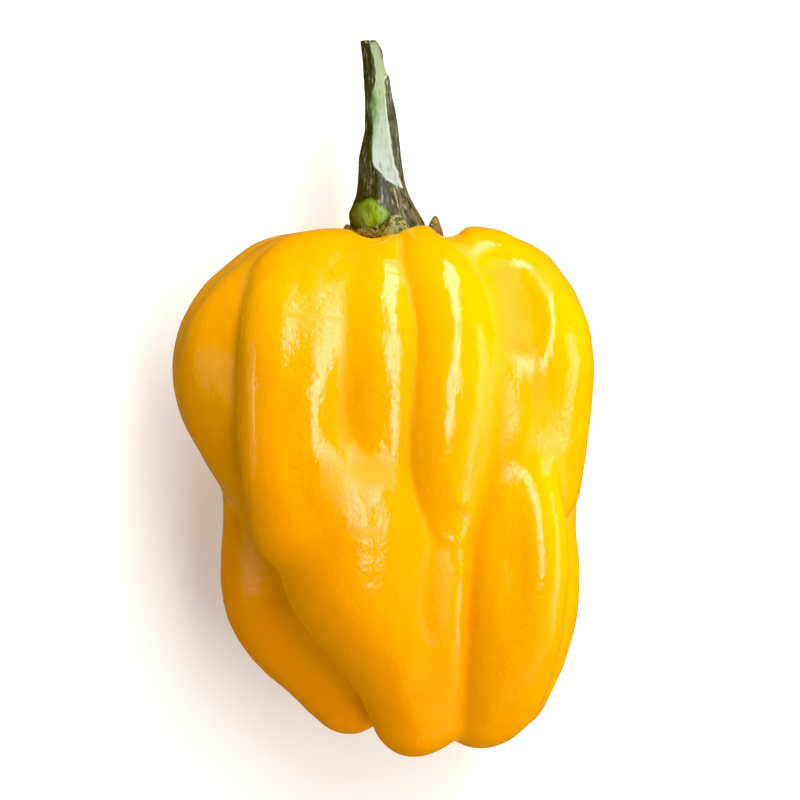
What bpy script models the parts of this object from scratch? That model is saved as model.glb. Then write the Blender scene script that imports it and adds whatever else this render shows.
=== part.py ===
"""A ripe yellow habanero pepper, picked with its stalk and lying on its side.

The pod, its calyx and its stem are three solids. All lengths are millimetres in the pod's own frame until
they go into a mesh: x across, y along the pod towards the stem's cut end, z up from the pod's axis. The
empty that the three hang from stands over the row's origin, which is under the pepper's middle, on the
surface that it lies on.
"""

import math

import bmesh
import bpy
import numpy as np

MM = 0.001

# Driving dimensions. The pod is 50 long, 40 across and 35 deep, and 67 long with its stem.
REST_DEPTH = 17.55  # from the pod's axis down to the surface
MIDDLE_X = -0.267  # the middle of the whole pepper, seen from above
MIDDLE_Y = 8.801
GAP = 0.3  # between two pieces that touch

POD_CELLS = 28  # mesh cells along each side of the cube that the pod's mesh starts from
PATH_SAMPLES = 26  # points read along each lobe's path
OUTSIDE = 40.0  # a distance from the pod's middle that is clear of the pod
ABOVE_CROWN = 30.0  # a height along the pod that is clear of its crown

SEAT_X = 0.35  # middle of the calyx and of the stem's foot
SEAT_Y = 24.4  # where the stem's foot stands
SEAT_RADIUS = 3.7
SEAT_RINGS = (0.4, 2.2, SEAT_RADIUS)  # the flat that the stem stands on
CALYX_RADIUS = 4.35
CALYX_SIDES = 44
RIM_THICKNESS = 0.45
WALL_SETBACK = 0.1  # from the seat out to the foot of the teeth
WALL_RISE = 0.8  # share of a tooth's height that its inner wall reaches
TIP_SHARE = 0.55  # where a tooth's tip is, as a share of the way from its wall to its rim
SHOULDER = (0.12, 0.35, 0.2)  # before a tooth's rim: how far in, share of its height, and drop

# The calyx's teeth, around the stem from the pod's right-hand side: angle, half width, both in degrees,
# rise above the seat, and reach past the calyx's radius.
TEETH = [
    (2.0, 18.0, 1.45, 0.75),
    (70.0, 32.0, 1.3, 0.3),
    (126.0, 24.0, 0.4, 0.1),
    (176.0, 24.0, 1.0, 0.05),
    (236.0, 26.0, 0.8, 0.4),
    (300.0, 26.0, 0.9, 0.5),
]

STEM_SIDES = 20
STEM_RINGS = 26
STEM_RIBS = 5
RIB_DEPTH = 0.035  # as a share of the stem's radius
RIB_TURN = 0.6  # turns the ribs about the stem, in radians

# The stem's path from its foot to its cut end, as (x, y, z, radius).
STEM = [
    (0.35, 24.7, 0.0, 3.4), (0.3, 25.1, 0.0, 3.45), (0.05, 26.0, 0.05, 3.2), (-0.15, 27.4, 0.15, 2.6),
    (-0.3, 29.0, 0.3, 2.2), (-0.36, 32.4, 0.5, 1.8), (-0.38, 34.9, 0.6, 1.5), (-0.55, 37.0, 0.5, 1.32),
    (-0.85, 39.2, 0.3, 1.16), (-1.12, 41.2, 0.0, 1.06), (-1.36, 42.0, -0.1, 0.9), (-1.42, 42.4, -0.1, 0.6),
]

# Each lobe of the pod is a round bar along a smooth path of (x, y, z, radius), from its crown beside the
# stem to its tip. The last number of a lobe is the width over which it melts into the ones before it.
LOBES = {
    "core": (
        [(0.0, 9.0, 0.0, 13.0), (0.0, 0.0, 0.0, 13.0), (0.5, -9.0, 0.0, 11.0), (1.5, -15.5, 0.5, 6.5)],
        1.0,
    ),
    "back_left": (
        [
            (-6.0, 15.5, -6.5, 7.2), (-7.5, 10.0, -9.0, 8.3), (-6.8, 2.0, -9.7, 8.2),
            (-5.0, -6.0, -9.5, 8.1), (-3.2, -12.5, -7.5, 6.2), (-2.0, -17.0, -5.0, 4.6),
        ],
        2.0,
    ),
    "back_right": (
        [
            (6.0, 15.5, -7.0, 7.2), (7.8, 10.0, -9.0, 8.3), (7.2, 2.0, -9.7, 8.2),
            (6.3, -6.0, -9.6, 8.1), (5.6, -13.0, -8.0, 7.0), (5.3, -18.5, -4.0, 5.3),
        ],
        2.0,
    ),
    "left": (
        [
            (-8.6, 16.6, 0.0, 7.7), (-11.6, 11.9, -1.0, 8.6), (-9.7, 6.0, -1.8, 8.0), (-8.0, 1.4, -2.2, 7.8),
            (-8.1, -3.0, -2.2, 7.4), (-8.4, -7.0, -2.0, 7.3), (-8.4, -10.6, -1.5, 6.7),
            (-6.2, -14.9, -0.8, 5.2), (-4.5, -17.7, -0.2, 4.3), (-3.4, -19.2, 0.0, 3.9),
        ],
        2.0,
    ),
    "left_side": (
        [
            (-8.7, 16.5, 2.9, 6.9), (-12.5, 12.0, 4.6, 6.9),
            (-11.1, 6.0, 3.5, 6.7), (-7.9, 1.0, -0.5, 6.6),
        ],
        1.0,
    ),
    "left_slope": (
        [(-7.6, 17.7, 4.3, 6.5), (-10.5, 12.0, 6.4, 6.8), (-9.8, 5.5, 5.6, 6.8), (-7.4, 0.5, 2.2, 6.3)],
        1.2,
    ),
    "left_shoulder": (
        [(-6.5, 18.2, 6.0, 6.0), (-8.4, 12.0, 8.7, 6.6), (-8.1, 6.0, 8.1, 6.7), (-6.4, 0.5, 5.0, 6.0)],
        1.2,
    ),
    "right": (
        [
            (10.7, 15.6, -2.0, 7.7), (11.4, 9.5, -3.0, 8.3), (10.6, 2.0, -2.0, 8.1),
            (10.2, -4.0, -0.5, 8.0), (10.5, -9.0, -0.5, 8.0), (9.9, -13.6, -1.0, 7.7),
            (9.8, -17.3, 0.0, 6.2),
        ],
        2.0,
    ),
    "front_left_edge": (
        [
            (-8.6, 18.6, 8.0, 4.3), (-9.8, 14.2, 13.5, 3.4), (-10.0, 8.0, 14.1, 3.3),
            (-9.7, 3.0, 14.0, 3.5), (-8.3, -3.0, 12.8, 3.9),
        ],
        0.8,
    ),
    "front_left_top": (
        [
            (-6.8, 18.7, 7.2, 4.8), (-7.6, 14.3, 12.2, 4.3), (-8.7, 8.0, 13.1, 4.2),
            (-8.6, 3.0, 13.0, 4.2), (-6.6, -3.0, 11.8, 5.0),
        ],
        1.3,
    ),
    "front_left": (
        [
            (-4.4, 18.9, 5.6, 5.7), (-5.4, 14.5, 10.95, 5.2), (-6.7, 9.0, 12.8, 4.8), (-6.7, 4.5, 12.8, 4.9),
            (-4.2, -0.8, 11.0, 6.5), (-3.3, -4.5, 10.2, 6.8), (-2.8, -7.5, 9.8, 6.6), (-1.4, -10.4, 9.2, 5.9),
            (0.8, -14.2, 8.3, 5.2), (2.2, -18.0, 7.0, 4.5), (2.8, -20.7, 5.8, 4.1),
        ],
        1.3,
    ),
    "front_low": (
        [(-0.8, 3.0, 9.6, 6.3), (0.5, -2.8, 9.6, 6.3), (1.3, -8.0, 8.6, 5.8), (1.5, -12.5, 7.9, 5.2)],
        3.6,
    ),
    "front_middle_left": (
        [
            (-0.6, 19.6, 6.6, 4.6), (-0.5, 14.5, 11.6, 5.0), (-0.5, 8.0, 12.2, 5.1),
            (-0.5, 3.0, 11.5, 5.2), (-0.6, -2.0, 9.0, 5.6),
        ],
        0.3,
    ),
    "front_middle": (
        [
            (0.4, 19.6, 7.4, 3.6), (1.0, 14.5, 13.4, 3.0), (1.0, 8.0, 14.2, 2.9),
            (0.9, 3.0, 13.4, 3.1), (0.4, -2.5, 10.0, 4.6),
        ],
        0.8,
    ),
    "front_ridge": (
        [
            (3.5, 21.0, 6.2, 3.8), (4.4, 18.6, 9.2, 4.4), (5.7, 15.0, 11.6, 4.8), (5.7, 10.0, 12.7, 4.9),
            (5.1, 4.5, 12.3, 4.9), (4.6, -1.5, 10.4, 4.9),
        ],
        0.3,
    ),
    "front_right": (
        [(8.4, 17.6, 4.4, 7.2), (10.2, 11.0, 7.2, 7.4), (10.2, 5.5, 7.0, 7.2), (10.0, 0.0, 5.4, 6.9)],
        1.8,
    ),
    "front_right_edge": (
        [(11.1, 17.2, 3.2, 6.5), (13.7, 11.5, 8.4, 5.7), (13.7, 6.0, 7.2, 5.5), (13.1, 1.0, 4.7, 5.3)],
        1.2,
    ),
    "lower_strip": (
        [
            (6.0, -1.0, 12.4, 2.4), (5.4, -6.0, 11.9, 2.6), (5.1, -11.0, 10.9, 2.8),
            (5.0, -16.0, 9.2, 2.8), (4.9, -20.5, 6.3, 3.0),
        ],
        1.6,
    ),
    "lower_right": (
        [
            (9.9, 3.4, 8.5, 4.5), (11.0, -1.0, 8.9, 4.8), (10.9, -6.0, 9.0, 4.9),
            (10.9, -10.5, 8.5, 5.0), (10.2, -15.0, 6.8, 5.1), (9.1, -19.4, 4.4, 4.7),
        ],
        1.0,
    ),
    "lower_right_edge": (
        [
            (12.9, 1.3, 9.9, 3.2), (13.9, -3.5, 11.4, 3.0), (13.9, -9.0, 11.1, 3.0),
            (13.0, -14.0, 9.0, 3.3), (11.4, -18.9, 5.7, 3.4),
        ],
        1.6,
    ),
}

# Shallow dents pressed into the skin, given as the bars that press them.
DENTS = {
    "shoulder": ([(11.6, 21.6, 11.8, 2.4), (12.7, 17.8, 14.6, 2.6), (12.9, 14.6, 16.3, 2.4)], 2.5),
}


def smooth_path(stations, count):
    """Evenly spread points on the natural cubic spline through the stations."""
    knots = np.array(stations, float)
    steps = np.linalg.norm(np.diff(knots[:, :3], axis=0), axis=1)
    last = len(knots) - 1
    matrix = np.eye(last + 1)
    right = np.zeros_like(knots)
    for i in range(1, last):
        matrix[i, i - 1 : i + 2] = steps[i - 1], 2 * (steps[i - 1] + steps[i]), steps[i]
        right[i] = 6 * ((knots[i + 1] - knots[i]) / steps[i] - (knots[i] - knots[i - 1]) / steps[i - 1])
    bend = np.linalg.solve(matrix, right)
    at = np.concatenate([[0.0], np.cumsum(steps)])
    here = np.linspace(0.0, at[-1], count)
    i = np.clip(np.searchsorted(at, here) - 1, 0, last - 1)
    step = steps[i][:, None]
    after = (here - at[i])[:, None]
    before = step - after
    return (
        (bend[i] * before**3 + bend[i + 1] * after**3) / (6 * step)
        + (knots[i] / step - bend[i] * step / 6) * before
        + (knots[i + 1] / step - bend[i + 1] * step / 6) * after
    )


def bar_distance(points, path):
    """Distance from each point to the skin of the round bar along the path, negative inside it."""
    centres = path[:, :3]
    squares = (points**2).sum(axis=1)[:, None] + (centres**2).sum(axis=1) - 2 * points @ centres.T
    to_path = np.sqrt(np.maximum(squares, 0.0)) - path[:, 3]
    nearest = np.clip(to_path.argmin(axis=1), 1, len(path) - 2)
    rows = np.arange(len(points))
    before, here, after = (to_path[rows, nearest + k] for k in (-1, 0, 1))
    slope = (after - before) / 2
    curve = np.maximum(after - 2 * here + before, 1e-9)
    along = np.clip(-slope / curve, -1.0, 1.0)
    return here + slope * along + curve * along**2 / 2


def melt(a, b, width):
    """The smaller of two distances, with the corner between them rounded over the given width."""
    overlap = np.maximum(width - np.abs(a - b), 0.0) / width
    return np.minimum(a, b) - overlap**3 * width / 6


POD_PATHS = [(smooth_path(stations, PATH_SAMPLES), width) for stations, width in LOBES.values()]
DENT_PATHS = [(smooth_path(stations, PATH_SAMPLES), width) for stations, width in DENTS.values()]


def pod_distance(points):
    """Distance from each point to the pod's skin."""
    first, _ = POD_PATHS[0]
    distance = bar_distance(points, first)
    for path, width in POD_PATHS[1:]:
        distance = melt(distance, bar_distance(points, path), width)
    for path, width in DENT_PATHS:
        distance = -melt(-distance, bar_distance(points, path), width)
    return distance


def skin_along(starts, directions, distance, steps=18):
    """Where each ray, walking in from its start, first meets the skin."""
    points = starts.copy()
    gap = distance(points)
    stride = gap
    for _ in range(steps):
        points += directions * stride[:, None]
        left = distance(points)
        moved = np.where(np.abs(stride) > 1e-9, stride, 1.0)
        closing = np.clip((gap - left) / moved, 0.3, 1.0)
        gap, stride = left, left / closing
    return points


def pod_rays(cells):
    """A cube's six grids of cells, as a mesh, and the directions of its corners from the middle."""
    body = bmesh.new()
    bmesh.ops.create_cube(body, size=2.0)
    bmesh.ops.subdivide_edges(body, edges=body.edges[:], cuts=cells - 1, use_grid_fill=True)
    corners = np.array([corner.co[:] for corner in body.verts])
    # the tangent spreads the corners evenly over the sphere
    rays = np.tan(corners * math.pi / 4)
    return body, rays / np.linalg.norm(rays, axis=1)[:, None]


def make_pod():
    body, rays = pod_rays(POD_CELLS)
    skin = skin_along(rays * OUTSIDE, -rays, pod_distance)
    # the two back lobes are pressed level where they lie on the surface
    skin[:, 2] = np.maximum(skin[:, 2], -REST_DEPTH)
    for corner, point in zip(body.verts, skin):
        corner.co = point * MM
    return body


def loft(rings):
    """A closed body through rings of points, each bridged to the next and both ends filled."""
    body = bmesh.new()
    loops = []
    for ring in rings:
        made = bmesh.ops.create_circle(body, segments=len(ring), radius=1.0)["verts"]
        for corner, point in zip(made, ring):
            corner.co = np.asarray(point) * MM
        loops.append(made)
    for lower, upper in zip(loops, loops[1:]):
        pair = set(lower) | set(upper)
        sides = [edge for edge in body.edges if pair.issuperset(edge.verts)]
        bmesh.ops.bridge_loops(body, edges=sides)
    ends = [body.faces.new(loops[0]), body.faces.new(loops[-1])]
    bmesh.ops.poke(body, faces=ends)
    bmesh.ops.recalc_face_normals(body, faces=body.faces[:])
    return body


def tooth_sum(angle, column):
    """The teeth's rise or reach at an angle around the stem."""
    total = 0.0
    for tooth in TEETH:
        away = (math.degrees(angle) - tooth[0] + 180.0) % 360.0 - 180.0
        if abs(away) < tooth[1]:
            total += tooth[column] * math.cos(math.radians(90.0 * away / tooth[1])) ** 1.5
    return total


def over_pod(points):
    """Distance from each point to the shell that stands the gap off the pod's skin."""
    return pod_distance(points) - GAP


def make_calyx():
    turns = [math.tau * k / CALYX_SIDES for k in range(CALYX_SIDES)]
    rise = np.array([tooth_sum(turn, 2) for turn in turns])
    edge = CALYX_RADIUS + np.array([tooth_sum(turn, 3) for turn in turns])
    wall = SEAT_RADIUS + WALL_SETBACK
    shoulder_in, shoulder_rise, shoulder_drop = SHOULDER
    # radius of each ring, and height of the calyx's upper side there
    rings = [(np.full_like(edge, radius), np.full_like(edge, SEAT_Y)) for radius in SEAT_RINGS]
    rings += [
        (np.full_like(edge, wall), SEAT_Y + WALL_RISE * rise),
        (wall + TIP_SHARE * (edge - wall), SEAT_Y + rise),
        (edge - shoulder_in, SEAT_Y + shoulder_rise * rise - shoulder_drop),
        (edge, np.zeros_like(edge)),
    ]
    upper = []
    lower = []
    for radius, height in rings:
        across = SEAT_X + radius * np.cos(turns)
        up = radius * np.sin(turns)
        above = np.column_stack([across, np.full_like(across, ABOVE_CROWN), up])
        down = np.tile((0.0, -1.0, 0.0), (CALYX_SIDES, 1))
        under = skin_along(above, down, over_pod, steps=40)[:, 1]
        over = np.maximum(height, under + RIM_THICKNESS)
        lower.append(np.column_stack([across, under, up]))
        upper.append(np.column_stack([across, over, up]))
    return loft(upper + lower[::-1])


def make_stem():
    rings = []
    for x, y, z, radius in smooth_path(STEM, STEM_RINGS):
        ring = []
        for k in range(STEM_SIDES):
            turn = math.tau * k / STEM_SIDES
            ribbed = radius * (1.0 + RIB_DEPTH * math.cos(STEM_RIBS * turn + RIB_TURN))
            ring.append((x + ribbed * math.cos(turn), y, z + ribbed * math.sin(turn)))
        rings.append(ring)
    return loft(rings)


def finish(name, colour, roughness):
    material = bpy.data.materials.new(name)
    material.use_nodes = True
    shader = material.node_tree.nodes["Principled BSDF"]
    shader.inputs["Base Color"].default_value = (*colour, 1.0)
    shader.inputs["Roughness"].default_value = roughness
    shader.inputs["Metallic"].default_value = 0.0
    material.diffuse_color = (*colour, 1.0)
    return material


def add_piece(name, body, material, holder):
    mesh = bpy.data.meshes.new(name)
    body.to_mesh(mesh)
    body.free()
    mesh.materials.append(material)
    mesh.shade_smooth()
    mesh.set_sharp_from_angle(angle=math.radians(50.0))
    piece = bpy.data.objects.new(name, mesh)
    piece.parent = holder
    bpy.context.scene.collection.objects.link(piece)


def main():
    for old in list(bpy.data.objects):
        bpy.data.objects.remove(old)
    pepper = bpy.data.objects.new("pepper", None)
    pepper.location = (-MIDDLE_X * MM, -MIDDLE_Y * MM, REST_DEPTH * MM)
    bpy.context.scene.collection.objects.link(pepper)
    add_piece("pod", make_pod(), finish("ripe skin", (0.95, 0.42, 0.01), 0.25), pepper)
    add_piece("calyx", make_calyx(), finish("calyx", (0.16, 0.19, 0.04), 0.6), pepper)
    add_piece("stem", make_stem(), finish("stem bark", (0.10, 0.14, 0.05), 0.6), pepper)


main()
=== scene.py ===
import math

import bmesh
import bpy
import numpy as np
from mathutils import Matrix, Vector, noise


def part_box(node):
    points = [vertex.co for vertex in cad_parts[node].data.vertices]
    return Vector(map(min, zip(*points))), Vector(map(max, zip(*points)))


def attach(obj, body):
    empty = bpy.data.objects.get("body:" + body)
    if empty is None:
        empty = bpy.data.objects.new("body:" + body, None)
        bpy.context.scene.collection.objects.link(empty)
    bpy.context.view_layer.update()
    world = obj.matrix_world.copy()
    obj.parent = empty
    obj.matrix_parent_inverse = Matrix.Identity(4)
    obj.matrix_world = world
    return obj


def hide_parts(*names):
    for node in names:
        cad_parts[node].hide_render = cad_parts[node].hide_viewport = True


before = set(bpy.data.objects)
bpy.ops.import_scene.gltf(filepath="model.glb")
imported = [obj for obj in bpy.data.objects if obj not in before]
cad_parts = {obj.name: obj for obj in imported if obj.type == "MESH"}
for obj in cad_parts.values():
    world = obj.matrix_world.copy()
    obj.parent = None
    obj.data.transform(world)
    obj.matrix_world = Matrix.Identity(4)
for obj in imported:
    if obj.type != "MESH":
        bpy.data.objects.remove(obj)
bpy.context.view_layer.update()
mm = 0.001
print("frame loaded:", ", ".join(sorted(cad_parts)))


def linearColour(hexCode):
    parts = [int(hexCode[i : i + 2], 16) / 255 for i in (1, 3, 5)]
    return [p / 12.92 if p <= 0.04045 else ((p + 0.055) / 1.055) ** 2.4 for p in parts] + [1.0]


def smoothStep(low, high, value):
    t = np.clip((value - low) / (high - low), 0.0, 1.0)
    return t * t * (3.0 - 2.0 * t)


# one node, its settings, its fixed inputs and what feeds it
def addNode(tree, kind, settings={}, values={}, links={}):
    node = tree.nodes.new(kind)
    for name, value in settings.items():
        setattr(node, name, value)
    for name, value in values.items():
        node.inputs[name].default_value = value
    for name, socket in links.items():
        tree.links.new(socket, node.inputs[name])
    return node


def newMaterial(name):
    material = bpy.data.materials.new(name)
    material.use_nodes = True
    tree = material.node_tree
    return material, tree, tree.nodes["Principled BSDF"]


# 0 to 1 as the value goes from low to high
def band(tree, value, low, high):
    ends = {"From Min": low, "From Max": high}
    return addNode(tree, "ShaderNodeMapRange", values=ends, links={"Value": value}).outputs["Result"]


# one colour over another; each is a hex colour or a socket
def blend(tree, share, first, second):
    values, links = {}, {"Factor": share}
    for socket, colour in (("A", first), ("B", second)):
        if isinstance(colour, str):
            values[socket] = linearColour(colour)
        else:
            links[socket] = colour
    return addNode(tree, "ShaderNodeMix", {"data_type": "RGBA"}, values, links).outputs["Result"]


def times(tree, first, second):
    return addNode(tree, "ShaderNodeMath", {"operation": "MULTIPLY"}, links={0: first, 1: second}).outputs["Value"]


# smooth curve through stations (x, y, z, radius), read at evenly spread points
def smoothPath(stations, count):
    knots = np.array(stations, float)
    steps = np.linalg.norm(np.diff(knots[:, :3], axis=0), axis=1)
    last = len(knots) - 1
    matrix = np.eye(last + 1)
    right = np.zeros_like(knots)
    for i in range(1, last):
        matrix[i, i - 1 : i + 2] = steps[i - 1], 2 * (steps[i - 1] + steps[i]), steps[i]
        right[i] = 6 * ((knots[i + 1] - knots[i]) / steps[i] - (knots[i] - knots[i - 1]) / steps[i - 1])
    bend = np.linalg.solve(matrix, right)
    at = np.concatenate([[0.0], np.cumsum(steps)])
    here = np.linspace(0.0, at[-1], count)
    i = np.clip(np.searchsorted(at, here) - 1, 0, last - 1)
    step = steps[i][:, None]
    after = (here - at[i])[:, None]
    before = step - after
    return (
        (bend[i] * before**3 + bend[i + 1] * after**3) / (6 * step)
        + (knots[i] / step - bend[i] * step / 6) * before
        + (knots[i + 1] / step - bend[i + 1] * step / 6) * after
    )


def barDistance(points, path):
    centres = path[:, :3]
    squares = (points**2).sum(axis=1)[:, None] + (centres**2).sum(axis=1) - 2 * points @ centres.T
    toPath = np.sqrt(np.maximum(squares, 0.0)) - path[:, 3]
    nearest = np.clip(toPath.argmin(axis=1), 1, len(path) - 2)
    rows = np.arange(len(points))
    before, here, after = (toPath[rows, nearest + k] for k in (-1, 0, 1))
    slope = (after - before) / 2
    curve = np.maximum(after - 2 * here + before, 1e-9)
    along = np.clip(-slope / curve, -1.0, 1.0)
    return here + slope * along + curve * along**2 / 2


def melt(a, b, width):
    overlap = np.maximum(width - np.abs(a - b), 0.0) / width
    return np.minimum(a, b) - overlap**3 * width / 6


# walks each ray in from its start to where it first meets the skin
def skinAlong(starts, directions, distance, steps=18):
    points = starts.copy()
    gap = distance(points)
    stride = gap
    for _ in range(steps):
        points += directions * stride[:, None]
        left = distance(points)
        moved = np.where(np.abs(stride) > 1e-9, stride, 1.0)
        closing = np.clip((gap - left) / moved, 0.3, 1.0)
        gap, stride = left, left / closing
    return points


# pod: the lobes are round bars along smooth paths (x, y, z, radius), in millimetres from the pod's middle,
# crown first; the last number of a lobe is the width over which it melts into the lobes before it
pod = {
    "cells": 120,
    "pathPoints": 26,
    "lobes": {
        "core": (
            [(0.0, 9.0, 0.0, 13.0), (0.0, 0.0, 0.0, 13.0), (0.5, -9.0, 0.0, 11.0), (1.5, -15.5, 0.5, 6.5)],
            1.0,
        ),
        "backLeft": (
            [
                (-6.0, 15.5, -6.5, 7.2), (-7.5, 10.0, -9.0, 8.3), (-6.8, 2.0, -9.7, 8.2),
                (-5.0, -6.0, -9.5, 8.1), (-3.2, -12.5, -7.5, 6.2), (-2.0, -17.0, -5.0, 4.6),
            ],
            2.0,
        ),
        "backRight": (
            [
                (6.0, 15.5, -7.0, 7.2), (7.8, 10.0, -9.0, 8.3), (7.2, 2.0, -9.7, 8.2),
                (6.3, -6.0, -9.6, 8.1), (5.6, -13.0, -8.0, 7.0), (5.3, -18.5, -4.0, 5.3),
            ],
            2.0,
        ),
        "left": (
            [
                (-8.6, 16.6, 0.0, 7.7), (-11.6, 11.9, -1.0, 8.6), (-9.7, 6.0, -1.8, 8.0), (-8.0, 1.4, -2.2, 7.8),
                (-8.1, -3.0, -2.2, 7.4), (-8.4, -7.0, -2.0, 7.3), (-8.4, -10.6, -1.5, 6.7),
                (-6.2, -14.9, -0.8, 5.2), (-4.5, -17.7, -0.2, 4.3), (-3.4, -19.2, 0.0, 3.9),
            ],
            2.0,
        ),
        "leftSide": (
            [
                (-8.7, 16.5, 2.9, 6.9), (-12.5, 12.0, 4.6, 6.9),
                (-11.1, 6.0, 3.5, 6.7), (-7.9, 1.0, -0.5, 6.6),
            ],
            1.0,
        ),
        "leftSlope": (
            [(-7.6, 17.7, 4.3, 6.5), (-10.5, 12.0, 6.4, 6.8), (-9.8, 5.5, 5.6, 6.8), (-7.4, 0.5, 2.2, 6.3)],
            1.2,
        ),
        "leftShoulder": (
            [(-6.5, 18.2, 6.0, 6.0), (-8.4, 12.0, 8.7, 6.6), (-8.1, 6.0, 8.1, 6.7), (-6.4, 0.5, 5.0, 6.0)],
            1.2,
        ),
        "right": (
            [
                (10.7, 15.6, -2.0, 7.7), (11.4, 9.5, -3.0, 8.3), (10.6, 2.0, -2.0, 8.1),
                (10.2, -4.0, -0.5, 8.0), (10.5, -9.0, -0.5, 8.0), (9.9, -13.6, -1.0, 7.7),
                (9.8, -17.3, 0.0, 6.2),
            ],
            2.0,
        ),
        "frontLeftEdge": (
            [
                (-8.6, 18.6, 8.0, 4.3), (-9.8, 14.2, 13.5, 3.4), (-10.0, 8.0, 14.1, 3.3),
                (-9.7, 3.0, 14.0, 3.5), (-8.3, -3.0, 12.8, 3.9),
            ],
            0.8,
        ),
        "frontLeftTop": (
            [
                (-6.8, 18.7, 7.2, 4.8), (-7.6, 14.3, 12.2, 4.3), (-8.7, 8.0, 13.1, 4.2),
                (-8.6, 3.0, 13.0, 4.2), (-6.6, -3.0, 11.8, 5.0),
            ],
            1.3,
        ),
        "frontLeft": (
            [
                (-4.4, 18.9, 5.6, 5.7), (-5.4, 14.5, 10.95, 5.2), (-6.7, 9.0, 12.8, 4.8), (-6.7, 4.5, 12.8, 4.9),
                (-4.2, -0.8, 11.0, 6.5), (-3.3, -4.5, 10.2, 6.8), (-2.8, -7.5, 9.8, 6.6), (-1.4, -10.4, 9.2, 5.9),
                (0.8, -14.2, 8.3, 5.2), (2.2, -18.0, 7.0, 4.5), (2.8, -20.7, 5.8, 4.1),
            ],
            1.3,
        ),
        "frontLow": (
            [(-0.8, 3.0, 9.6, 6.3), (0.5, -2.8, 9.6, 6.3), (1.3, -8.0, 8.6, 5.8), (1.5, -12.5, 7.9, 5.2)],
            3.6,
        ),
        "frontMiddleLeft": (
            [
                (-0.6, 19.6, 6.6, 4.6), (-0.5, 14.5, 11.6, 5.0), (-0.5, 8.0, 12.2, 5.1),
                (-0.5, 3.0, 11.3, 5.3), (-0.5, -2.0, 9.9, 5.9), (0.0, -7.0, 8.4, 5.9),
            ],
            1.8,
        ),
        "frontMiddle": (
            [
                (0.4, 19.6, 7.4, 3.6), (1.0, 14.5, 13.4, 3.0), (1.0, 8.0, 14.2, 2.9),
                (0.9, 3.0, 13.3, 3.1), (0.5, -2.5, 10.9, 4.7), (0.8, -7.0, 8.9, 5.2),
            ],
            0.8,
        ),
        "frontRidge": (
            [
                (3.5, 21.0, 6.2, 3.8), (4.4, 18.6, 9.2, 4.4), (5.7, 15.0, 11.6, 4.8), (5.7, 10.0, 12.7, 4.9),
                (5.1, 4.5, 12.3, 4.9), (4.6, -1.5, 10.4, 4.9),
            ],
            0.3,
        ),
        "frontRight": (
            [(8.4, 17.6, 4.4, 7.2), (10.2, 11.0, 7.2, 7.4), (10.2, 5.5, 7.0, 7.2), (10.0, 0.0, 5.4, 6.9)],
            1.8,
        ),
        "frontRightEdge": (
            [
                (11.1, 17.2, 3.2, 6.5), (13.7, 12.4, 8.4, 5.7), (13.8, 8.5, 7.5, 5.5), (13.6, 5.0, 6.3, 5.4),
                (13.1, 1.0, 4.7, 5.3),
            ],
            1.2,
        ),
        "lowerStrip": (
            [
                (6.0, -1.0, 12.4, 2.4), (5.4, -6.0, 11.9, 2.6), (5.1, -11.0, 10.9, 2.8),
                (5.0, -16.0, 9.2, 2.8), (4.9, -20.5, 6.3, 3.0),
            ],
            1.6,
        ),
        "lowerRight": (
            [
                (9.9, 3.4, 8.5, 4.5), (11.0, -1.0, 8.9, 4.8), (10.9, -6.0, 9.0, 4.9),
                (10.9, -10.5, 8.5, 5.0), (10.2, -15.0, 6.8, 5.1), (9.1, -19.4, 4.4, 4.7),
            ],
            1.0,
        ),
        "lowerRightEdge": (
            [
                (12.9, 1.3, 9.9, 3.2), (13.9, -3.5, 11.4, 3.0), (13.9, -9.0, 11.1, 3.0),
                (13.0, -14.0, 9.0, 3.3), (11.4, -18.9, 5.7, 3.4),
            ],
            1.6,
        ),
    },
    "dents": {
        "shoulder": ([(11.6, 21.6, 11.8, 2.4), (12.7, 17.8, 14.6, 2.6), (12.9, 14.6, 16.3, 2.4)], 2.5),
        "crownLeft": ([(-1.2, 25.5, 3.5, 2.0), (-1.2, 25.6, 6.0, 2.0), (-1.2, 25.2, 8.5, 2.0)], 1.0),
        "crownRight": ([(5.9, 25.3, 3.0, 1.6), (5.9, 25.4, 5.5, 1.6), (6.1, 25.0, 8.0, 1.6)], 0.8),
    },
    "furrowReach": 110,  # rounds of smoothing that the depth of furrows, and of narrow creases, is read against
    "creaseReach": 14,
    "swell": 0.07,  # the skin's slow unevenness and its finer ripple: height and size
    "swellSize": 4.0,
    "ripple": 0.06,
    "rippleSize": 1.5,
    # small knobs on the upper side: x, y, radius and height
    "knobs": [(6.95, -0.9, 0.6, 0.2), (6.65, -4.4, 0.6, 0.15), (7.0, -7.2, 0.6, 0.2)],
    # places where the wax is rubbed duller: x, y, reach in x and in y, and by how much
    "rubbed": [
        (-6.6, 18.4, 3.4, 4.4, 0.13), (-4.75, 0.2, 1.3, 3.2, 0.35), (-2.3, -3.5, 2.2, 0.6, 0.25),
        (4.7, -8.7, 1.5, 5.0, 0.35), (9.3, -0.6, 1.5, 3.6, 0.3), (8.8, 22.3, 1.8, 1.1, 0.15),
        (9.0, 6.7, 1.7, 7.0, 0.14), (-1.1, 2.05, 2.3, 1.5, 0.35), (-2.5, -0.4, 1.7, 3.2, 0.04),
        (14.6, 19.6, 1.6, 1.8, 0.2), (11.6, 6.7, 2.0, 3.6, 0.1),
    ],
}


def podDistance(points):
    distance = None
    for path, width in podPaths:
        bar = barDistance(points, path)
        distance = bar if distance is None else melt(distance, bar, width)
    for path, width in dentPaths:
        distance = -melt(-distance, barDistance(points, path), width)
    return distance


podPaths = [(smoothPath(stations, pod["pathPoints"]), width) for stations, width in pod["lobes"].values()]
dentPaths = [(smoothPath(stations, pod["pathPoints"]), width) for stations, width in pod["dents"].values()]


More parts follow.
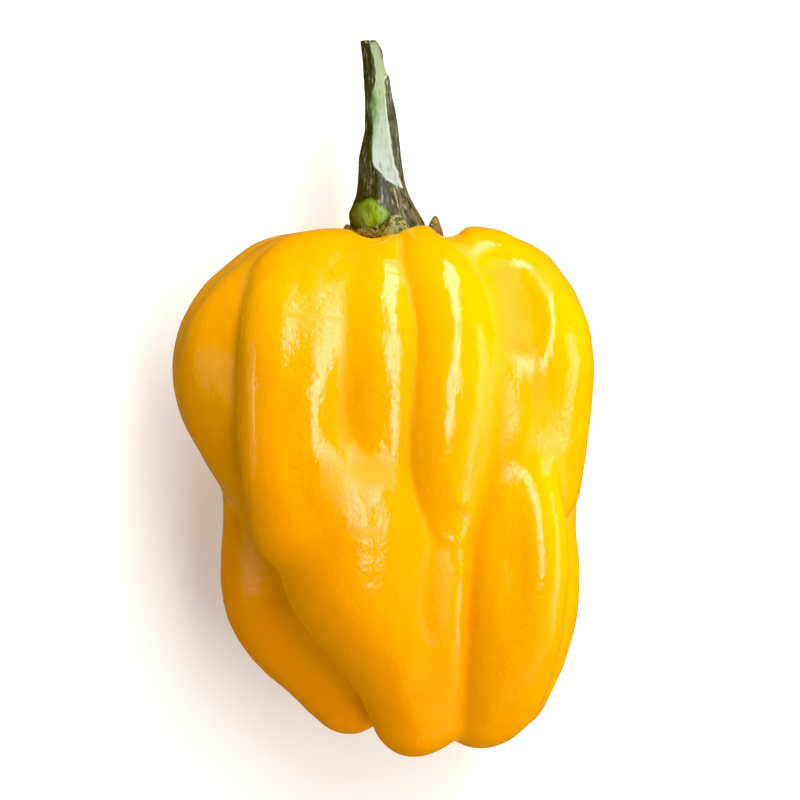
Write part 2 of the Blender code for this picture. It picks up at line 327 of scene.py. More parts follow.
def unevenness(points, size, height, seed):
    offset = Vector((seed, 0.0, 0.0))
    return height * np.array([noise.noise(Vector(p) / size + offset) for p in points])


# how far each point lies below the skin when that is smoothed over a number of rounds
def hollowness(mesh, skin, outwards, rounds):
    ends = np.empty(len(mesh.edges) * 2, np.int32)
    mesh.edges.foreach_get("vertices", ends)
    starts, stops = ends.reshape(-1, 2).T
    count = len(skin)
    neighbours = np.bincount(starts, minlength=count) + np.bincount(stops, minlength=count)
    smooth = skin.copy()
    for _ in range(rounds):
        for axis in range(3):
            column = smooth[:, axis]
            total = np.bincount(starts, column[stops], count) + np.bincount(stops, column[starts], count)
            smooth[:, axis] = (column + total / neighbours) / 2
    return ((smooth - skin) * outwards).sum(axis=1)


def addAttribute(mesh, name, values):
    kind, field = ("FLOAT", "value") if values.ndim == 1 else ("FLOAT_VECTOR", "vector")
    attribute = mesh.attributes.new(name, kind, "POINT")
    attribute.data.foreach_set(field, values.astype(np.float32).ravel())


def makePod():
    body = bmesh.new()
    bmesh.ops.create_cube(body, size=2.0)
    bmesh.ops.subdivide_edges(body, edges=body.edges[:], cuts=pod["cells"] - 1, use_grid_fill=True)
    mesh = bpy.data.meshes.new("podSkin")
    body.to_mesh(mesh)
    body.free()
    corners = np.empty(len(mesh.vertices) * 3)
    mesh.vertices.foreach_get("co", corners)
    rays = np.tan(corners.reshape(-1, 3) * math.pi / 4)
    rays /= np.linalg.norm(rays, axis=1)[:, None]
    skin = skinAlong(rays * 40.0, -rays, podDistance)
    low, high = skin.min(axis=0), skin.max(axis=0)
    boxLow, boxHigh = (np.array(corner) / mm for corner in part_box("pod"))
    # the pod's middle, from the CAD pod's box: level in x and y, and hung from its top in z
    middle = (boxLow + boxHigh) / 2 - (low + high) / 2
    middle[2] = boxHigh[2] - high[2]
    rounds = [round(pod[reach] * (pod["cells"] / 120) ** 2) for reach in ("furrowReach", "creaseReach")]
    furrowShade, crease = (hollowness(mesh, skin, rays, number) for number in rounds)
    swell = unevenness(skin, pod["swellSize"], pod["swell"], 3.0)
    ripple = unevenness(skin * (1.0, 0.6, 1.0), pod["rippleSize"], pod["ripple"], 11.0)
    skin += rays * (swell + ripple - pod["swell"] - pod["ripple"])[:, None]
    upper = rays[:, 2] > 0.0
    for x, y, radius, height in pod["knobs"]:
        away = np.hypot(skin[:, 0] - x, skin[:, 1] - y) / radius
        skin += rays * (upper * height * np.exp(-away * away))[:, None]
    rubbed = np.zeros(len(skin))
    for x, y, reachX, reachY, dullness in pod["rubbed"]:
        away = np.hypot((skin[:, 0] - x) / reachX, (skin[:, 1] - y) / reachY)
        rubbed = np.maximum(rubbed, upper * dullness * smoothStep(1.5, 0.4, away))
    skin[:, 2] = np.maximum(skin[:, 2], -middle[2])
    mesh.vertices.foreach_set("co", ((skin + middle) * mm).ravel())
    mesh.update()
    mesh.shade_smooth()
    # the furrows' depth, which the skin's colour uses for painted shade
    addAttribute(mesh, "furrowShade", smoothStep(0.0, 0.5, furrowShade))
    addAttribute(mesh, "crease", smoothStep(0.0, 0.05, crease))
    addAttribute(mesh, "rubbed", rubbed)
    print("hollows:", np.percentile(furrowShade, (5, 50, 90, 99)).round(2), np.percentile(crease, (5, 50, 90, 99)).round(3))
    piece = bpy.data.objects.new("podSkin", mesh)
    bpy.context.scene.collection.objects.link(piece)
    return piece, middle


podPiece, podMiddle = makePod()
print("pod skin:", len(podPiece.data.polygons), "faces, middle at", podMiddle.round(2))

# habanero skin: thin, taut and waxed by the plant itself, so it is glossy like varnish over soft flesh that
# light sinks into; it ripens from yellow to orange towards the tip, and painted shade deepens the orange in the
# furrows, on its left side and along the crown
ripeSkin = {
    "crest": "#F1AD03",
    # painted shade: the deeper orange put into the furrows
    "furrowShade": "#ED9002",
    "tip": "#EF8E02",
    "tipReach": (13.0, -39.0),  # y, in mm, from where it turns orange to where it is wholly so
    "leftShadeShare": 0.4,  # painted shade: more orange at its left side, and less at its right, by this share
    "sideReach": 18.0,  # mm from the middle to where that share is full
    # painted shade: more orange towards the crown, by this share
    "crownShadeShare": 0.4,
    "crownReach": (19.0, 25.0),  # mm from the pod's middle
    "mottle": 6.0,  # mm between its paler and deeper clouds
    "ior": 1.43,  # plant wax
    "gloss": 0.14,  # roughness of the wax on the crests, and how far it varies from place to place
    "glossSpread": 0.13,
    "glossPatch": 2.5,  # mm
    "furrowDull": 0.5,  # added roughness in the creases and at the tip
    "tipDull": 0.12,
    "pore": 0.5,  # mm between the skin's fine dimples
    "poreDepth": 0.04,
    "streak": 0.5,  # mm between the fine lines along the pod
    "streakLength": 5.0,
    "fleshShare": 0.2,  # share of the light that goes into the flesh, and how far each colour of it travels
    "fleshRadius": (1.0, 0.4, 0.08),
    "fleshDepth": 0.8,  # mm
}


def makeRipeSkin():
    look = ripeSkin
    material, tree, shader = newMaterial("ripeHabaneroSkin")
    place = addNode(tree, "ShaderNodeTexCoord").outputs["Object"]
    furrowShade = addNode(tree, "ShaderNodeAttribute", {"attribute_name": "furrowShade"}).outputs["Fac"]
    crease = addNode(tree, "ShaderNodeAttribute", {"attribute_name": "crease"}).outputs["Fac"]
    rubbed = addNode(tree, "ShaderNodeAttribute", {"attribute_name": "rubbed"}).outputs["Fac"]
    across, along, _ = addNode(tree, "ShaderNodeSeparateXYZ", links={"Vector": place}).outputs
    start, end = look["tipReach"]
    towardsTip = band(tree, along, start * mm, end * mm)
    side, sideReach = look["leftShadeShare"], look["sideReach"] * mm
    # painted shade: more orange to the left and less to the right
    leftShade = addNode(
        tree,
        "ShaderNodeMapRange",
        values={"From Min": sideReach, "From Max": -sideReach, "To Min": -side, "To Max": side},
        links={"Value": across},
    ).outputs["Result"]
    low, high = ((podMiddle[1] + reach) * mm for reach in look["crownReach"])
    # painted shade: more orange towards the crown
    crownShade = addNode(
        tree,
        "ShaderNodeMapRange",
        values={"From Min": low, "From Max": high, "To Max": look["crownShadeShare"]},
        links={"Value": along},
    ).outputs["Result"]
    mottle = addNode(
        tree, "ShaderNodeTexNoise", values={"Scale": 1 / (look["mottle"] * mm), "Detail": 3.0}, links={"Vector": place}
    ).outputs["Fac"]
    orange = addNode(
        tree, "ShaderNodeMath", {"operation": "ADD"}, links={0: towardsTip, 1: leftShade}
    ).outputs["Value"]
    orange = addNode(
        tree, "ShaderNodeMath", {"operation": "ADD", "use_clamp": True}, links={0: orange, 1: crownShade}
    ).outputs["Value"]
    # ripening towards the tip, together with the painted shade at the left side and the crown
    ripenedAndShaded = blend(tree, orange, look["crest"], look["tip"])
    uneven = addNode(
        tree, "ShaderNodeMath", {"operation": "MULTIPLY_ADD"}, {1: 0.5, 2: -0.25}, {0: mottle}
    ).outputs["Value"]
    # painted shade in the furrows, together with the random mottle
    depth = addNode(
        tree, "ShaderNodeMath", {"operation": "MULTIPLY_ADD", "use_clamp": True}, {1: 0.55}, {0: furrowShade, 2: uneven}
    ).outputs["Value"]
    colour = blend(tree, depth, ripenedAndShaded, look["furrowShade"])
    glossNoise = addNode(
        tree,
        "ShaderNodeTexNoise",
        values={"Scale": 1 / (look["glossPatch"] * mm), "Detail": 4.0},
        links={"Vector": place},
    ).outputs["Fac"]
    crestGloss = addNode(
        tree,
        "ShaderNodeMath",
        {"operation": "MULTIPLY_ADD"},
        {1: look["glossSpread"], 2: look["gloss"] - look["glossSpread"] / 2},
        {0: glossNoise},
    ).outputs["Value"]
    gloss = addNode(
        tree, "ShaderNodeMath", {"operation": "MULTIPLY_ADD"}, {1: look["tipDull"]}, {0: towardsTip, 2: crestGloss}
    ).outputs["Value"]
    gloss = addNode(
        tree, "ShaderNodeMath", {"operation": "MULTIPLY_ADD"}, {1: look["furrowDull"]}, {0: crease, 2: gloss}
    ).outputs["Value"]
    gloss = addNode(tree, "ShaderNodeMath", {"operation": "ADD"}, links={0: gloss, 1: rubbed}).outputs["Value"]
    pores = addNode(
        tree, "ShaderNodeTexNoise", values={"Scale": 1 / (look["pore"] * mm), "Detail": 2.0}, links={"Vector": place}
    ).outputs["Fac"]
    streakScale = tuple(1 / (look[size] * mm) for size in ("streak", "streakLength", "streak"))
    stretched = addNode(
        tree, "ShaderNodeVectorMath", {"operation": "MULTIPLY"}, {1: streakScale}, {0: place}
    ).outputs["Vector"]
    streaks = addNode(
        tree, "ShaderNodeTexNoise", values={"Scale": 1.0, "Detail": 2.0}, links={"Vector": stretched}
    ).outputs["Fac"]
    relief = addNode(
        tree, "ShaderNodeMath", {"operation": "MULTIPLY_ADD"}, {1: 0.5}, {0: streaks, 2: pores}
    ).outputs["Value"]
    bump = addNode(
        tree,
        "ShaderNodeBump",
        values={"Distance": look["poreDepth"] * mm, "Strength": 1.0},
        links={"Height": relief},
    ).outputs["Normal"]
    tree.links.new(colour, shader.inputs["Base Color"])
    tree.links.new(gloss, shader.inputs["Roughness"])
    tree.links.new(bump, shader.inputs["Normal"])
    shader.inputs["IOR"].default_value = look["ior"]
    shader.inputs["Subsurface Weight"].default_value = look["fleshShare"]
    shader.inputs["Subsurface Radius"].default_value = look["fleshRadius"]
    shader.inputs["Subsurface Scale"].default_value = look["fleshDepth"] * mm
    return material


podMaterial = makeRipeSkin()
podPiece.data.materials.append(podMaterial)
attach(podPiece, "root")
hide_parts("pod")
print("ripe skin done")


# a closed skin through rings of points, bridged ring to ring, with both ends filled
def loftRings(name, rings):
    sides = len(rings[0])
    points = np.concatenate(rings)
    body = bmesh.new()
    corners = [body.verts.new(point) for point in (points + podMiddle) * mm]
    for i in range(len(rings) - 1):
        for k in range(sides):
            low, next_ = i * sides + k, i * sides + (k + 1) % sides
            body.faces.new([corners[low], corners[next_], corners[next_ + sides], corners[low + sides]])
    ends = [body.faces.new(corners[:sides]), body.faces.new(corners[-sides:])]
    bmesh.ops.poke(body, faces=ends)
    bmesh.ops.recalc_face_normals(body, faces=body.faces[:])
    mesh = bpy.data.meshes.new(name)
    body.to_mesh(mesh)
    body.free()
    mesh.shade_smooth()
    piece = bpy.data.objects.new(name, mesh)
    bpy.context.scene.collection.objects.link(piece)
    return piece


# calyx: the toothed cap that the pod hangs from; teeth are angle and half width in degrees from the
# pod's right-hand side, rise above the seat, and reach past the cap's edge, in millimetres
calyx = {
    "sides": 180,
    "seatX": 0.35,
    "seatY": 24.4,
    "seatRadius": 3.55,
    "radius": 4.3,
    "sunk": 0.25,  # how far its edge sinks into the pod's skin
    "edge": 0.35,
    "teeth": [
        (3.0, 23.0, 1.65, 0.95),
        (80.0, 28.0, 1.6, 0.3),
        (126.0, 24.0, 0.4, 0.1),
        (172.0, 34.0, 0.8, 0.2),
        (236.0, 26.0, 0.8, 0.4),
        (300.0, 26.0, 0.9, 0.5),
    ],
    "greenTurn": 70.0,  # the tooth that is still green, and how far the green spreads
    "greenSpread": 30.0,
    "lump": 0.09,
    "lumpSize": 0.8,
}


def toothSum(angles, column):
    total = np.zeros_like(angles)
    for tooth in calyx["teeth"]:
        away = (np.degrees(angles) - tooth[0] + 180.0) % 360.0 - 180.0
        inside = np.clip(np.abs(away) / tooth[1], 0.0, 1.0)
        total += tooth[column] * np.cos(np.pi / 2 * inside) ** 1.5
    return total


def makeCalyx():
    angles = np.linspace(0.0, math.tau, calyx["sides"], endpoint=False)
    rise, reach = toothSum(angles, 2), toothSum(angles, 3)
    edge = calyx["radius"] + reach
    seat = calyx["seatRadius"]
    # share of the way from the seat's edge to the cap's edge, and share of the tooth's rise there
    profile = [(0.0, 0.0), (0.1, 0.1), (0.2, 0.45), (0.3, 0.75), (0.42, 0.95), (0.54, 1.0), (0.66, 0.9), (0.78, 0.62)]
    profile += [(0.88, 0.3), (0.95, -0.05), (1.0, -0.4)]
    rings = []
    for share in (0.1, 0.5, 0.8):
        rings.append((np.full_like(edge, seat * share), np.full_like(edge, calyx["seatY"])))
    for out, up in profile:
        rings.append((seat + out * (edge - seat), calyx["seatY"] + up * rise - 0.3 * out))
    upper, lower = [], []
    for radius, height in rings:
        across = calyx["seatX"] + radius * np.cos(angles)
        forward = radius * np.sin(angles)
        above = np.column_stack([across, np.full_like(across, 30.0), forward])
        down = np.tile((0.0, -1.0, 0.0), (len(angles), 1))
        skin = skinAlong(above, down, podDistance, steps=40)[:, 1]
        top = np.maximum(height, skin + calyx["edge"])
        upper.append(np.column_stack([across, top, forward]))
        lower.append(np.column_stack([across, skin - calyx["sunk"], forward]))
    rings = upper + lower[::-1]
    points = np.concatenate(rings)
    lumps = unevenness(points, calyx["lumpSize"], calyx["lump"], 11.0)
    lumps += unevenness(points, calyx["lumpSize"] / 3, calyx["lump"] / 2, 12.0)
    points[:, 1] += lumps
    points[:, 0] += lumps * 0.5
    piece = loftRings("calyxCap", np.split(points, len(rings)))
    degrees = np.tile(np.degrees(angles), len(rings))
    leaf = np.exp(-(((degrees - calyx["greenTurn"]) / calyx["greenSpread"]) ** 2))
    addAttribute(piece.data, "leaf", np.concatenate([leaf, np.zeros(2)]))
    return piece


calyxPiece = makeCalyx()
print("calyx:", len(calyxPiece.data.polygons), "faces")

# calyx skin: a leafy cap that has gone brown and corky where it dried, so it is dull, rough and mottled
calyxLook = {
    "leaf": "#767A34",
    "greyLeaf": "#94945C",
    "dry": "#765D28",
    "cork": "#33260F",
    "fleck": "#C2AC6C",
    "roughness": 0.6,
    "blotch": 0.7,  # mm between its corky blotches and between its fine grains
    "grain": 0.2,
    "relief": 0.06,
}


def makeCalyxSkin():
    look = calyxLook
    material, tree, shader = newMaterial("dryingCalyxLeaf")
    place = addNode(tree, "ShaderNodeTexCoord").outputs["Object"]
    leafy = addNode(tree, "ShaderNodeAttribute", {"attribute_name": "leaf"}).outputs["Fac"]
    blotch, grain = (
        addNode(
            tree, "ShaderNodeTexNoise", values={"Scale": 1 / (size * mm), "Detail": 4.0}, links={"Vector": place}
        ).outputs["Fac"]
        for size in (look["blotch"], look["grain"])
    )
    leaf = blend(tree, grain, look["leaf"], look["greyLeaf"])
    colour = blend(tree, band(tree, leafy, 0.3, 0.8), look["dry"], leaf)
    colour = blend(tree, band(tree, blotch, 0.5, 0.62), colour, look["cork"])
    colour = blend(tree, band(tree, grain, 0.46, 0.36), colour, look["cork"])
    colour = blend(tree, band(tree, grain, 0.6, 0.68), colour, look["fleck"])
    relief = addNode(
        tree, "ShaderNodeBump", values={"Distance": look["relief"] * mm, "Strength": 1.0}, links={"Height": grain}
    ).outputs["Normal"]
    tree.links.new(colour, shader.inputs["Base Color"])
    tree.links.new(relief, shader.inputs["Normal"])
    shader.inputs["Roughness"].default_value = look["roughness"]
    return material


calyxPiece.data.materials.append(makeCalyxSkin())
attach(calyxPiece, "root")
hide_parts("calyx")
print("calyx skin done")

# stem: the stalk's path from its foot to its cut end as (x, y, z, radius); the flat facet on its front as
# (y, left x, right x), with the slanting line (x, y) that it ends at; bumps are turn and spread in degrees
# from straight up and positive to the right, y and its spread, and height
stem = {
    "sides": 180,
    "rings": 260,
    "path": [
        (0.35, 24.3, 0.0, 3.65), (0.2, 25.4, 0.0, 3.42), (-0.05, 26.4, 0.1, 3.08), (-0.15, 27.6, 0.2, 2.55),
        (-0.28, 28.7, 0.25, 2.25), (-0.35, 30.0, 0.35, 2.08), (-0.36, 32.4, 0.5, 1.78), (-0.37, 34.9, 0.6, 1.5),
        (-0.53, 37.0, 0.5, 1.31), (-0.83, 39.15, 0.3, 1.16), (-1.1, 41.2, 0.0, 1.06), (-1.22, 42.2, -0.1, 1.04),
    ],
    "ribs": 5,
    "ribDepth": 0.035,
    "cutDrop": 1.75,  # mm that the cut falls away to the right
    "cutEnd": [(1.04, 42.32), (0.97, 42.39), (0.86, 42.4), (0.5, 42.3)],  # radius and y of the cut's rings
    "facet": [
        (28.2, -0.95, 1.7), (29.6, -0.95, 1.3), (30.2, -0.85, 1.12), (30.9, -1.21, 0.87), (32.5, -1.21, 0.62),
        (33.5, -1.12, 0.5), (34.9, -1.27, 0.33), (36.0, -1.46, 0.18), (37.2, -1.3, 0.07), (38.1, -0.98, 0.0),
        (38.6, -0.88, -0.02), (39.2, -0.88, 0.24), (39.7, -0.9, 0.2), (40.5, -1.05, 0.05), (41.4, -1.25, -0.15),
        (42.3, -1.5, -0.7),
    ],
    "facetEnd": [(-1.3, 30.6), (-0.75, 30.16), (-0.2, 29.62), (0.11, 29.17), (0.85, 28.77), (1.7, 28.35)],
    "ragged": 0.07,  # how far the facet's edges wander, and over what length
    "raggedLength": 0.45,
    "knots": [(-85.0, 45.0, 31.3, 0.9, 0.12), (-80.0, 45.0, 33.7, 0.9, -0.1), (60.0, 30.0, 38.7, 0.5, 0.06)],
    # turn; its spread to the left and to the right; y; its spread down and up; height
    "swelling": (-26.0, 66.0, 36.0, 26.0, 1.7, 1.6, 0.3),
    "grainDepth": 0.06,
    "grains": [(0.3, 2.0), (0.9, 3.0)],  # width and length of the fine and of the broad ridges
}


# a smooth bump that is 1 in its middle and 0 from its rim on; its rim is pointed at four ends
def bump(across, up):
    out = (np.abs(across) ** 1.4 + np.abs(up) ** 1.4) ** (1 / 1.4)
    return np.clip(1.0 - out**2, 0.0, 1.0)


def makeStem():
    path = smoothPath(stem["path"], stem["rings"])
    turns = np.linspace(0.0, math.tau, stem["sides"], endpoint=False)
    degrees = (np.degrees(turns) + 180.0) % 360.0 - 180.0
    facetY, facetLeft, facetRight = np.array(stem["facet"]).T
    endX, endY = np.array(stem["facetEnd"]).T
    swellTurn, swellLeft, swellRight, swellY, swellDown, swellUp, swellHeight = stem["swelling"]
    stations = [(x, y, z, radius, 0.0) for x, y, z, radius in path]
    x, y, z, radius = path[-1]
    stations += [(x, cutY, z, cutRadius, 1.0) for cutRadius, cutY in stem["cutEnd"]]
    rings = []
    marks = {"facet": [], "facetRimHighlight": [], "swelling": [], "cut": [], "unrolled": []}
    for x, y, z, radius, cut in stations:
        wander = [noise.noise(Vector((y / stem["raggedLength"], seed, 0.0))) for seed in (1.5, 7.5)]
        left = np.interp(y, facetY, facetLeft) + stem["ragged"] * wander[0]
        right = np.interp(y, facetY, facetRight) + stem["ragged"] * wander[1]
        leftTurn, rightTurn = (math.asin(np.clip((edge - x) / radius, -0.98, 0.98)) for edge in (left, right))
        middle, half = (leftTurn + rightTurn) / 2, (rightTurn - leftTurn) / 2
        across = x + radius * np.sin(turns)
        facing = np.cos(turns) > 0.0
        foot = y - np.interp(across, endX, endY)
        facet = smoothStep(-0.04, 0.04, np.minimum(across - left, right - across)) * facing
        size = radius * (1.0 + stem["ribDepth"] * np.cos(stem["ribs"] * turns + 0.6))
        level = radius * (math.cos(half) + 0.03) / np.maximum(np.cos(turns - middle), 0.2)
        cutBack = facet * smoothStep(-0.05, 0.3, foot)
        size = size * (1.0 - cutBack) + np.minimum(size, level) * cutBack
        for turn, turnSpread, knotY, ySpread, height in stem["knots"]:
            size = size + height * np.exp(-(((degrees - turn) / turnSpread) ** 2) - ((y - knotY) / ySpread) ** 2)
        away = degrees - swellTurn
        swelling = bump(
            away / np.where(away < 0.0, swellLeft, swellRight), (y - swellY) / (swellDown if y < swellY else swellUp)
        )
        size = size + swellHeight * swelling**0.7
        across = x + size * np.sin(turns)
        drop = stem["cutDrop"] * smoothStep(-0.95, 0.35, across) * smoothStep(38.5, 42.3, y)
        rings.append(np.column_stack([across, y - drop, z + size * np.cos(turns)]))
        # where the flat facet lies, which the bark paints with a pale reflection
        marks["facet"].append(facet * smoothStep(-0.04, 0.04, foot))
        # where the painted highlight runs along the facet's right edge
        marks["facetRimHighlight"].append(facet * np.exp(-(((right - across) / 0.07) ** 2)))
        marks["swelling"].append(swelling)
        marks["cut"].append(np.full_like(turns, max(cut, smoothStep(42.05, 42.2, y))))
        marks["unrolled"].append(np.column_stack([2 * np.sin(turns), np.full_like(turns, y), 2 * np.cos(turns)]))
    points = np.concatenate(rings)
    marks = {name: np.concatenate(values) for name, values in marks.items()}
    fine, broad = (
        np.array([noise.noise(Vector(p)) for p in marks["unrolled"] / (width, length, width)])
        for width, length in stem["grains"]
    )
    roughness = (1.0 - 0.7 * np.minimum(marks["swelling"] * 3, 1.0)) * (1.0 - 0.85 * marks["facet"])
    centres = np.repeat([(x, y, z) for x, y, z, _, _ in stations], stem["sides"], axis=0)
    outward = (points - centres) * (1.0, 0.0, 1.0)
    outward /= np.maximum(np.linalg.norm(outward, axis=1), 1e-6)[:, None]
    points += outward * (stem["grainDepth"] * (fine + broad) * roughness)[:, None]
    piece = loftRings("stemStalk", np.split(points, len(rings)))
    for name, values in marks.items():
        ends = np.zeros((2, *values.shape[1:]))
        addAttribute(piece.data, name, np.concatenate([values, ends]))
    return piece


stemPiece = makeStem()
print("stem:", len(stemPiece.data.polygons), "faces")

# stem bark: a smooth green stalk skin that turns corky in dark streaks along the fibre as it dries, with painted light
# on it: a reflection and a highlight on its facet, and a paler right-hand side
stemLook = {
    "bark": "#161612",
    "olive": "#474A39",
    "litRightBark": "#5C5A4B",  # painted light: paler on its lit right-hand side
    # the foot's brown, painted paler on its lit right-hand side; that paler brown also marks pits on the swelling
    "foot": "#3E3522",
    "brownPitsAndLitFoot": "#6B5A34",
    "line": "#A19B7C",
    # painted reflection: the pale band along the flat facet, by height
    "facetReflectionColours": [
        (28.5, "#AAB2AC"), (33.0, "#A6B4A0"), (35.0, "#ACB9A1"), (36.3, "#A0B088"), (39.0, "#8F9C72"),
        (42.3, "#879170"),
    ],
    # the stalk's green, where the painted reflection leaves off at the facet's left and in lines
    "facetGreen": "#4C6E2C",
    # painted highlight along the facet's right edge
    "facetRimHighlight": "#D8D2AC",
    # the green swelling, with painted shade at its rim and towards the left; the dark colour also draws streaks on it
    "swellingGreen": "#7F9E2B",
    "swellingShadeAndStreaks": "#3A440E",
    "cut": "#2E2A1C",
    "fleck": "#C9C29A",
    "roughness": 0.5,
    "fibre": 0.23,  # mm between fibres
    "fibreLength": 1.4,
    "relief": 0.04,
}


def makeStemBark():
    look = stemLook
    material, tree, shader = newMaterial("dryingStemBark")
    marks = {
        name: addNode(tree, "ShaderNodeAttribute", {"attribute_name": name}).outputs["Fac"]
        for name in ("facet", "facetRimHighlight", "swelling", "cut")
    }
    unrolled = addNode(tree, "ShaderNodeAttribute", {"attribute_name": "unrolled"}).outputs["Vector"]
    place = addNode(tree, "ShaderNodeSeparateXYZ", links={"Vector": unrolled})
    fibreScale = (1 / look["fibre"], 1 / look["fibreLength"], 1 / look["fibre"])
    stretched = addNode(
        tree, "ShaderNodeVectorMath", {"operation": "MULTIPLY"}, {1: fibreScale}, {0: unrolled}
    ).outputs["Vector"]
    fibre, broad, pits, patch = (
        addNode(
            tree, "ShaderNodeTexNoise", values={"Scale": scale, "Detail": 4.0}, links={"Vector": vector}
        ).outputs["Fac"]
        for scale, vector in ((1.0, stretched), (0.35, stretched), (1.7, stretched), (1.6, unrolled))
    )
    bark = blend(tree, band(tree, broad, 0.4, 0.62), look["bark"], look["olive"])
    # painted light: paler on the right-hand side, in streaks along the fibre
    litRight = times(tree, band(tree, place.outputs["X"], 0.4, 1.4), band(tree, fibre, 0.35, 0.6))
    bark = blend(tree, litRight, bark, look["litRightBark"])
    lowDown = times(tree, band(tree, place.outputs["Y"], 29.5, 27.0), band(tree, broad, 0.35, 0.6))
    # painted light: the foot paler on its right-hand side
    foot = blend(tree, band(tree, place.outputs["X"], -0.2, 0.8), look["foot"], look["brownPitsAndLitFoot"])
    bark = blend(tree, lowDown, bark, foot)
    bark = blend(tree, band(tree, fibre, 0.57, 0.68), bark, look["line"])
    bark = blend(tree, band(tree, pits, 0.54, 0.42), bark, look["bark"])
    # painted reflection on the flat facet
    steps = look["facetReflectionColours"]
    facet = steps[0][1]
    for (low, _), (high, colour) in zip(steps, steps[1:]):
        facet = blend(tree, band(tree, place.outputs["Y"], low, high), facet, colour)
    greenSide = times(tree, band(tree, place.outputs["X"], -0.2, -0.95), band(tree, place.outputs["Y"], 32.8, 35.2))
    greenSide = times(tree, greenSide, band(tree, place.outputs["Y"], 38.3, 37.2))
    facet = blend(tree, times(tree, greenSide, band(tree, patch, 0.2, 0.5)), facet, look["facetGreen"])
    greenLines = times(tree, band(tree, fibre, 0.52, 0.7), band(tree, patch, 0.3, 0.7))
    facet = blend(tree, greenLines, facet, look["facetGreen"])
    # painted highlight along the facet's right edge
    facet = blend(tree, times(tree, marks["facetRimHighlight"], band(tree, patch, 0.4, 0.55)), facet, look["facetRimHighlight"])
    # painted shade: the swelling darkens at its rim and towards the left
    swellingUnshaded = times(tree, band(tree, marks["swelling"], 0.1, 0.6), band(tree, place.outputs["X"], -1.8, -1.0))
    swelling = blend(tree, swellingUnshaded, look["swellingShadeAndStreaks"], look["swellingGreen"])
    swelling = blend(tree, band(tree, fibre, 0.5, 0.7), swelling, look["swellingShadeAndStreaks"])
    colour = blend(tree, marks["facet"], bark, facet)
    swelling = blend(tree, band(tree, pits, 0.56, 0.7), swelling, look["brownPitsAndLitFoot"])
    skinLeft = times(tree, marks["swelling"], band(tree, fibre, 0.72, 0.52))
    colour = blend(tree, band(tree, skinLeft, 0.02, 0.25), colour, swelling)
    cut = blend(tree, band(tree, patch, 0.52, 0.6), look["cut"], look["fleck"])
    colour = blend(tree, marks["cut"], colour, cut)
    relief = addNode(
        tree, "ShaderNodeBump", values={"Distance": look["relief"] * mm, "Strength": 1.0}, links={"Height": fibre}
    ).outputs["Normal"]
    tree.links.new(colour, shader.inputs["Base Color"])
    tree.links.new(relief, shader.inputs["Normal"])
    shader.inputs["Roughness"].default_value = look["roughness"]
    return material


stemPiece.data.materials.append(makeStemBark())
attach(stemPiece, "root")
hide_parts("stem")
print("stem bark done")

# studio: white paper under the pepper, soft panels over it, and a camera that looks straight down; a panel's
# tilts are degrees from straight up, towards +x and towards the stem, and one that has more than one tilt
# towards the stem is an arc of panels edge to edge
studio = {
    "floorSize": 6.0,  # metres, as are the panels' sizes and distance
    "paper": "#EDEDEB",
    "paperRoughness": 0.9,
    "paperGlow": 0.3,
    "skyStrength": 0.12,
    "distance": 0.9,
    "panels": {
        "stripBox": {
            "tiltX": 17.0, "tiltsY": [-5.0, 25.0, 55.0, 85.0], "width": 0.24, "height": 0.482, "radiance": 9.8,
        },
        "rightWindow": {"tiltX": 80.0, "tiltsY": [0.0], "width": 0.27, "height": 0.9, "radiance": 4.0},
        "leftWindow": {"tiltX": -80.0, "tiltsY": [15.0], "width": 0.5, "height": 0.6, "radiance": 1.0},
        "leftLamp": {"tiltX": -70.0, "tiltsY": [-2.0, 14.0], "width": 0.1, "height": 0.1, "radiance": 5.0},
        "frontFill": {"tiltX": 38.0, "tiltsY": [-60.0], "width": 1.2, "height": 0.8, "radiance": 0.85},
    },
    "blackPoint": (0.0, 0.0, 0.03),
    "cameraDistance": 400.0,
    "frameWidth": 75.47,  # mm across the view, at the pod's middle
    "sensorWidth": 36.0,
    "aim": (1.682, -0.311),  # mm from the pepper's middle
}


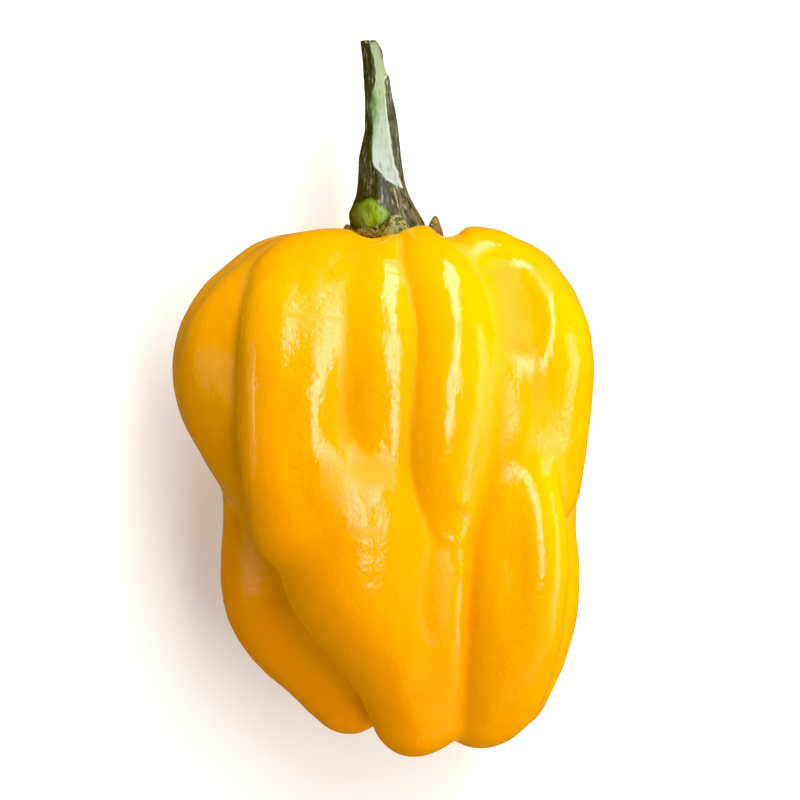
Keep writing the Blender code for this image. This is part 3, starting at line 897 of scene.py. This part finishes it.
# matte paper: an uncoated sheet off a roll, with no gloss at all and hidden from reflections; it glows faintly,
# painted light that lightens the shadows on it
def makeFloor():
    bpy.ops.mesh.primitive_plane_add(size=studio["floorSize"])
    floor = bpy.context.object
    floor.name = "paperFloor"
    material, tree, shader = newMaterial("mattePaper")
    shader.inputs["Base Color"].default_value = linearColour(studio["paper"])
    shader.inputs["Roughness"].default_value = studio["paperRoughness"]
    shader.inputs["Emission Color"].default_value = linearColour(studio["paper"])
    shader.inputs["Emission Strength"].default_value = studio["paperGlow"]
    floor.data.materials.append(material)
    floor.visible_glossy = False


def makeLights():
    world = bpy.data.worlds.new("studioAir")
    world.use_nodes = True
    world.node_tree.nodes["Background"].inputs["Color"].default_value = (1.0, 1.0, 1.0, 1.0)
    world.node_tree.nodes["Background"].inputs["Strength"].default_value = studio["skyStrength"]
    bpy.context.scene.world = world
    for name, panel in studio["panels"].items():
        for degreesY in panel["tiltsY"]:
            light = bpy.data.lights.new(name, "AREA")
            light.shape = "RECTANGLE"
            light.size, light.size_y = panel["width"], panel["height"]
            light.energy = panel["radiance"] * math.pi * panel["width"] * panel["height"]
            tiltX, tiltY = math.radians(panel["tiltX"]), math.radians(degreesY)
            upright = Vector((0.0, math.sin(tiltY), math.cos(tiltY)))
            right = Vector((1.0, 0.0, 0.0))
            towards = right * math.sin(tiltX) + upright * math.cos(tiltX)
            across = right * math.cos(tiltX) - upright * math.sin(tiltX)
            lamp = bpy.data.objects.new(name, light)
            axes = Matrix((across, towards.cross(across), towards)).transposed()
            lamp.matrix_world = Matrix.Translation(towards * studio["distance"]) @ axes.to_4x4()
            lamp.visible_camera = False
            bpy.context.scene.collection.objects.link(lamp)


def makeCamera():
    camera = bpy.data.cameras.new("overhead")
    camera.sensor_width = studio["sensorWidth"]
    camera.lens = camera.sensor_width * studio["cameraDistance"] / studio["frameWidth"]
    tripod = bpy.data.objects.new("overhead", camera)
    aimX, aimY = studio["aim"]
    tripod.location = (aimX * mm, aimY * mm, (podMiddle[2] + studio["cameraDistance"]) * mm)
    bpy.context.scene.collection.objects.link(tripod)
    bpy.context.scene.camera = tripod
    grade = bpy.context.scene.view_settings
    grade.view_transform = "Standard"
    grade.use_curve_mapping = True
    grade.curve_mapping.black_level = studio["blackPoint"]
    grade.curve_mapping.update()


makeFloor()
makeLights()
makeCamera()
print("studio done")
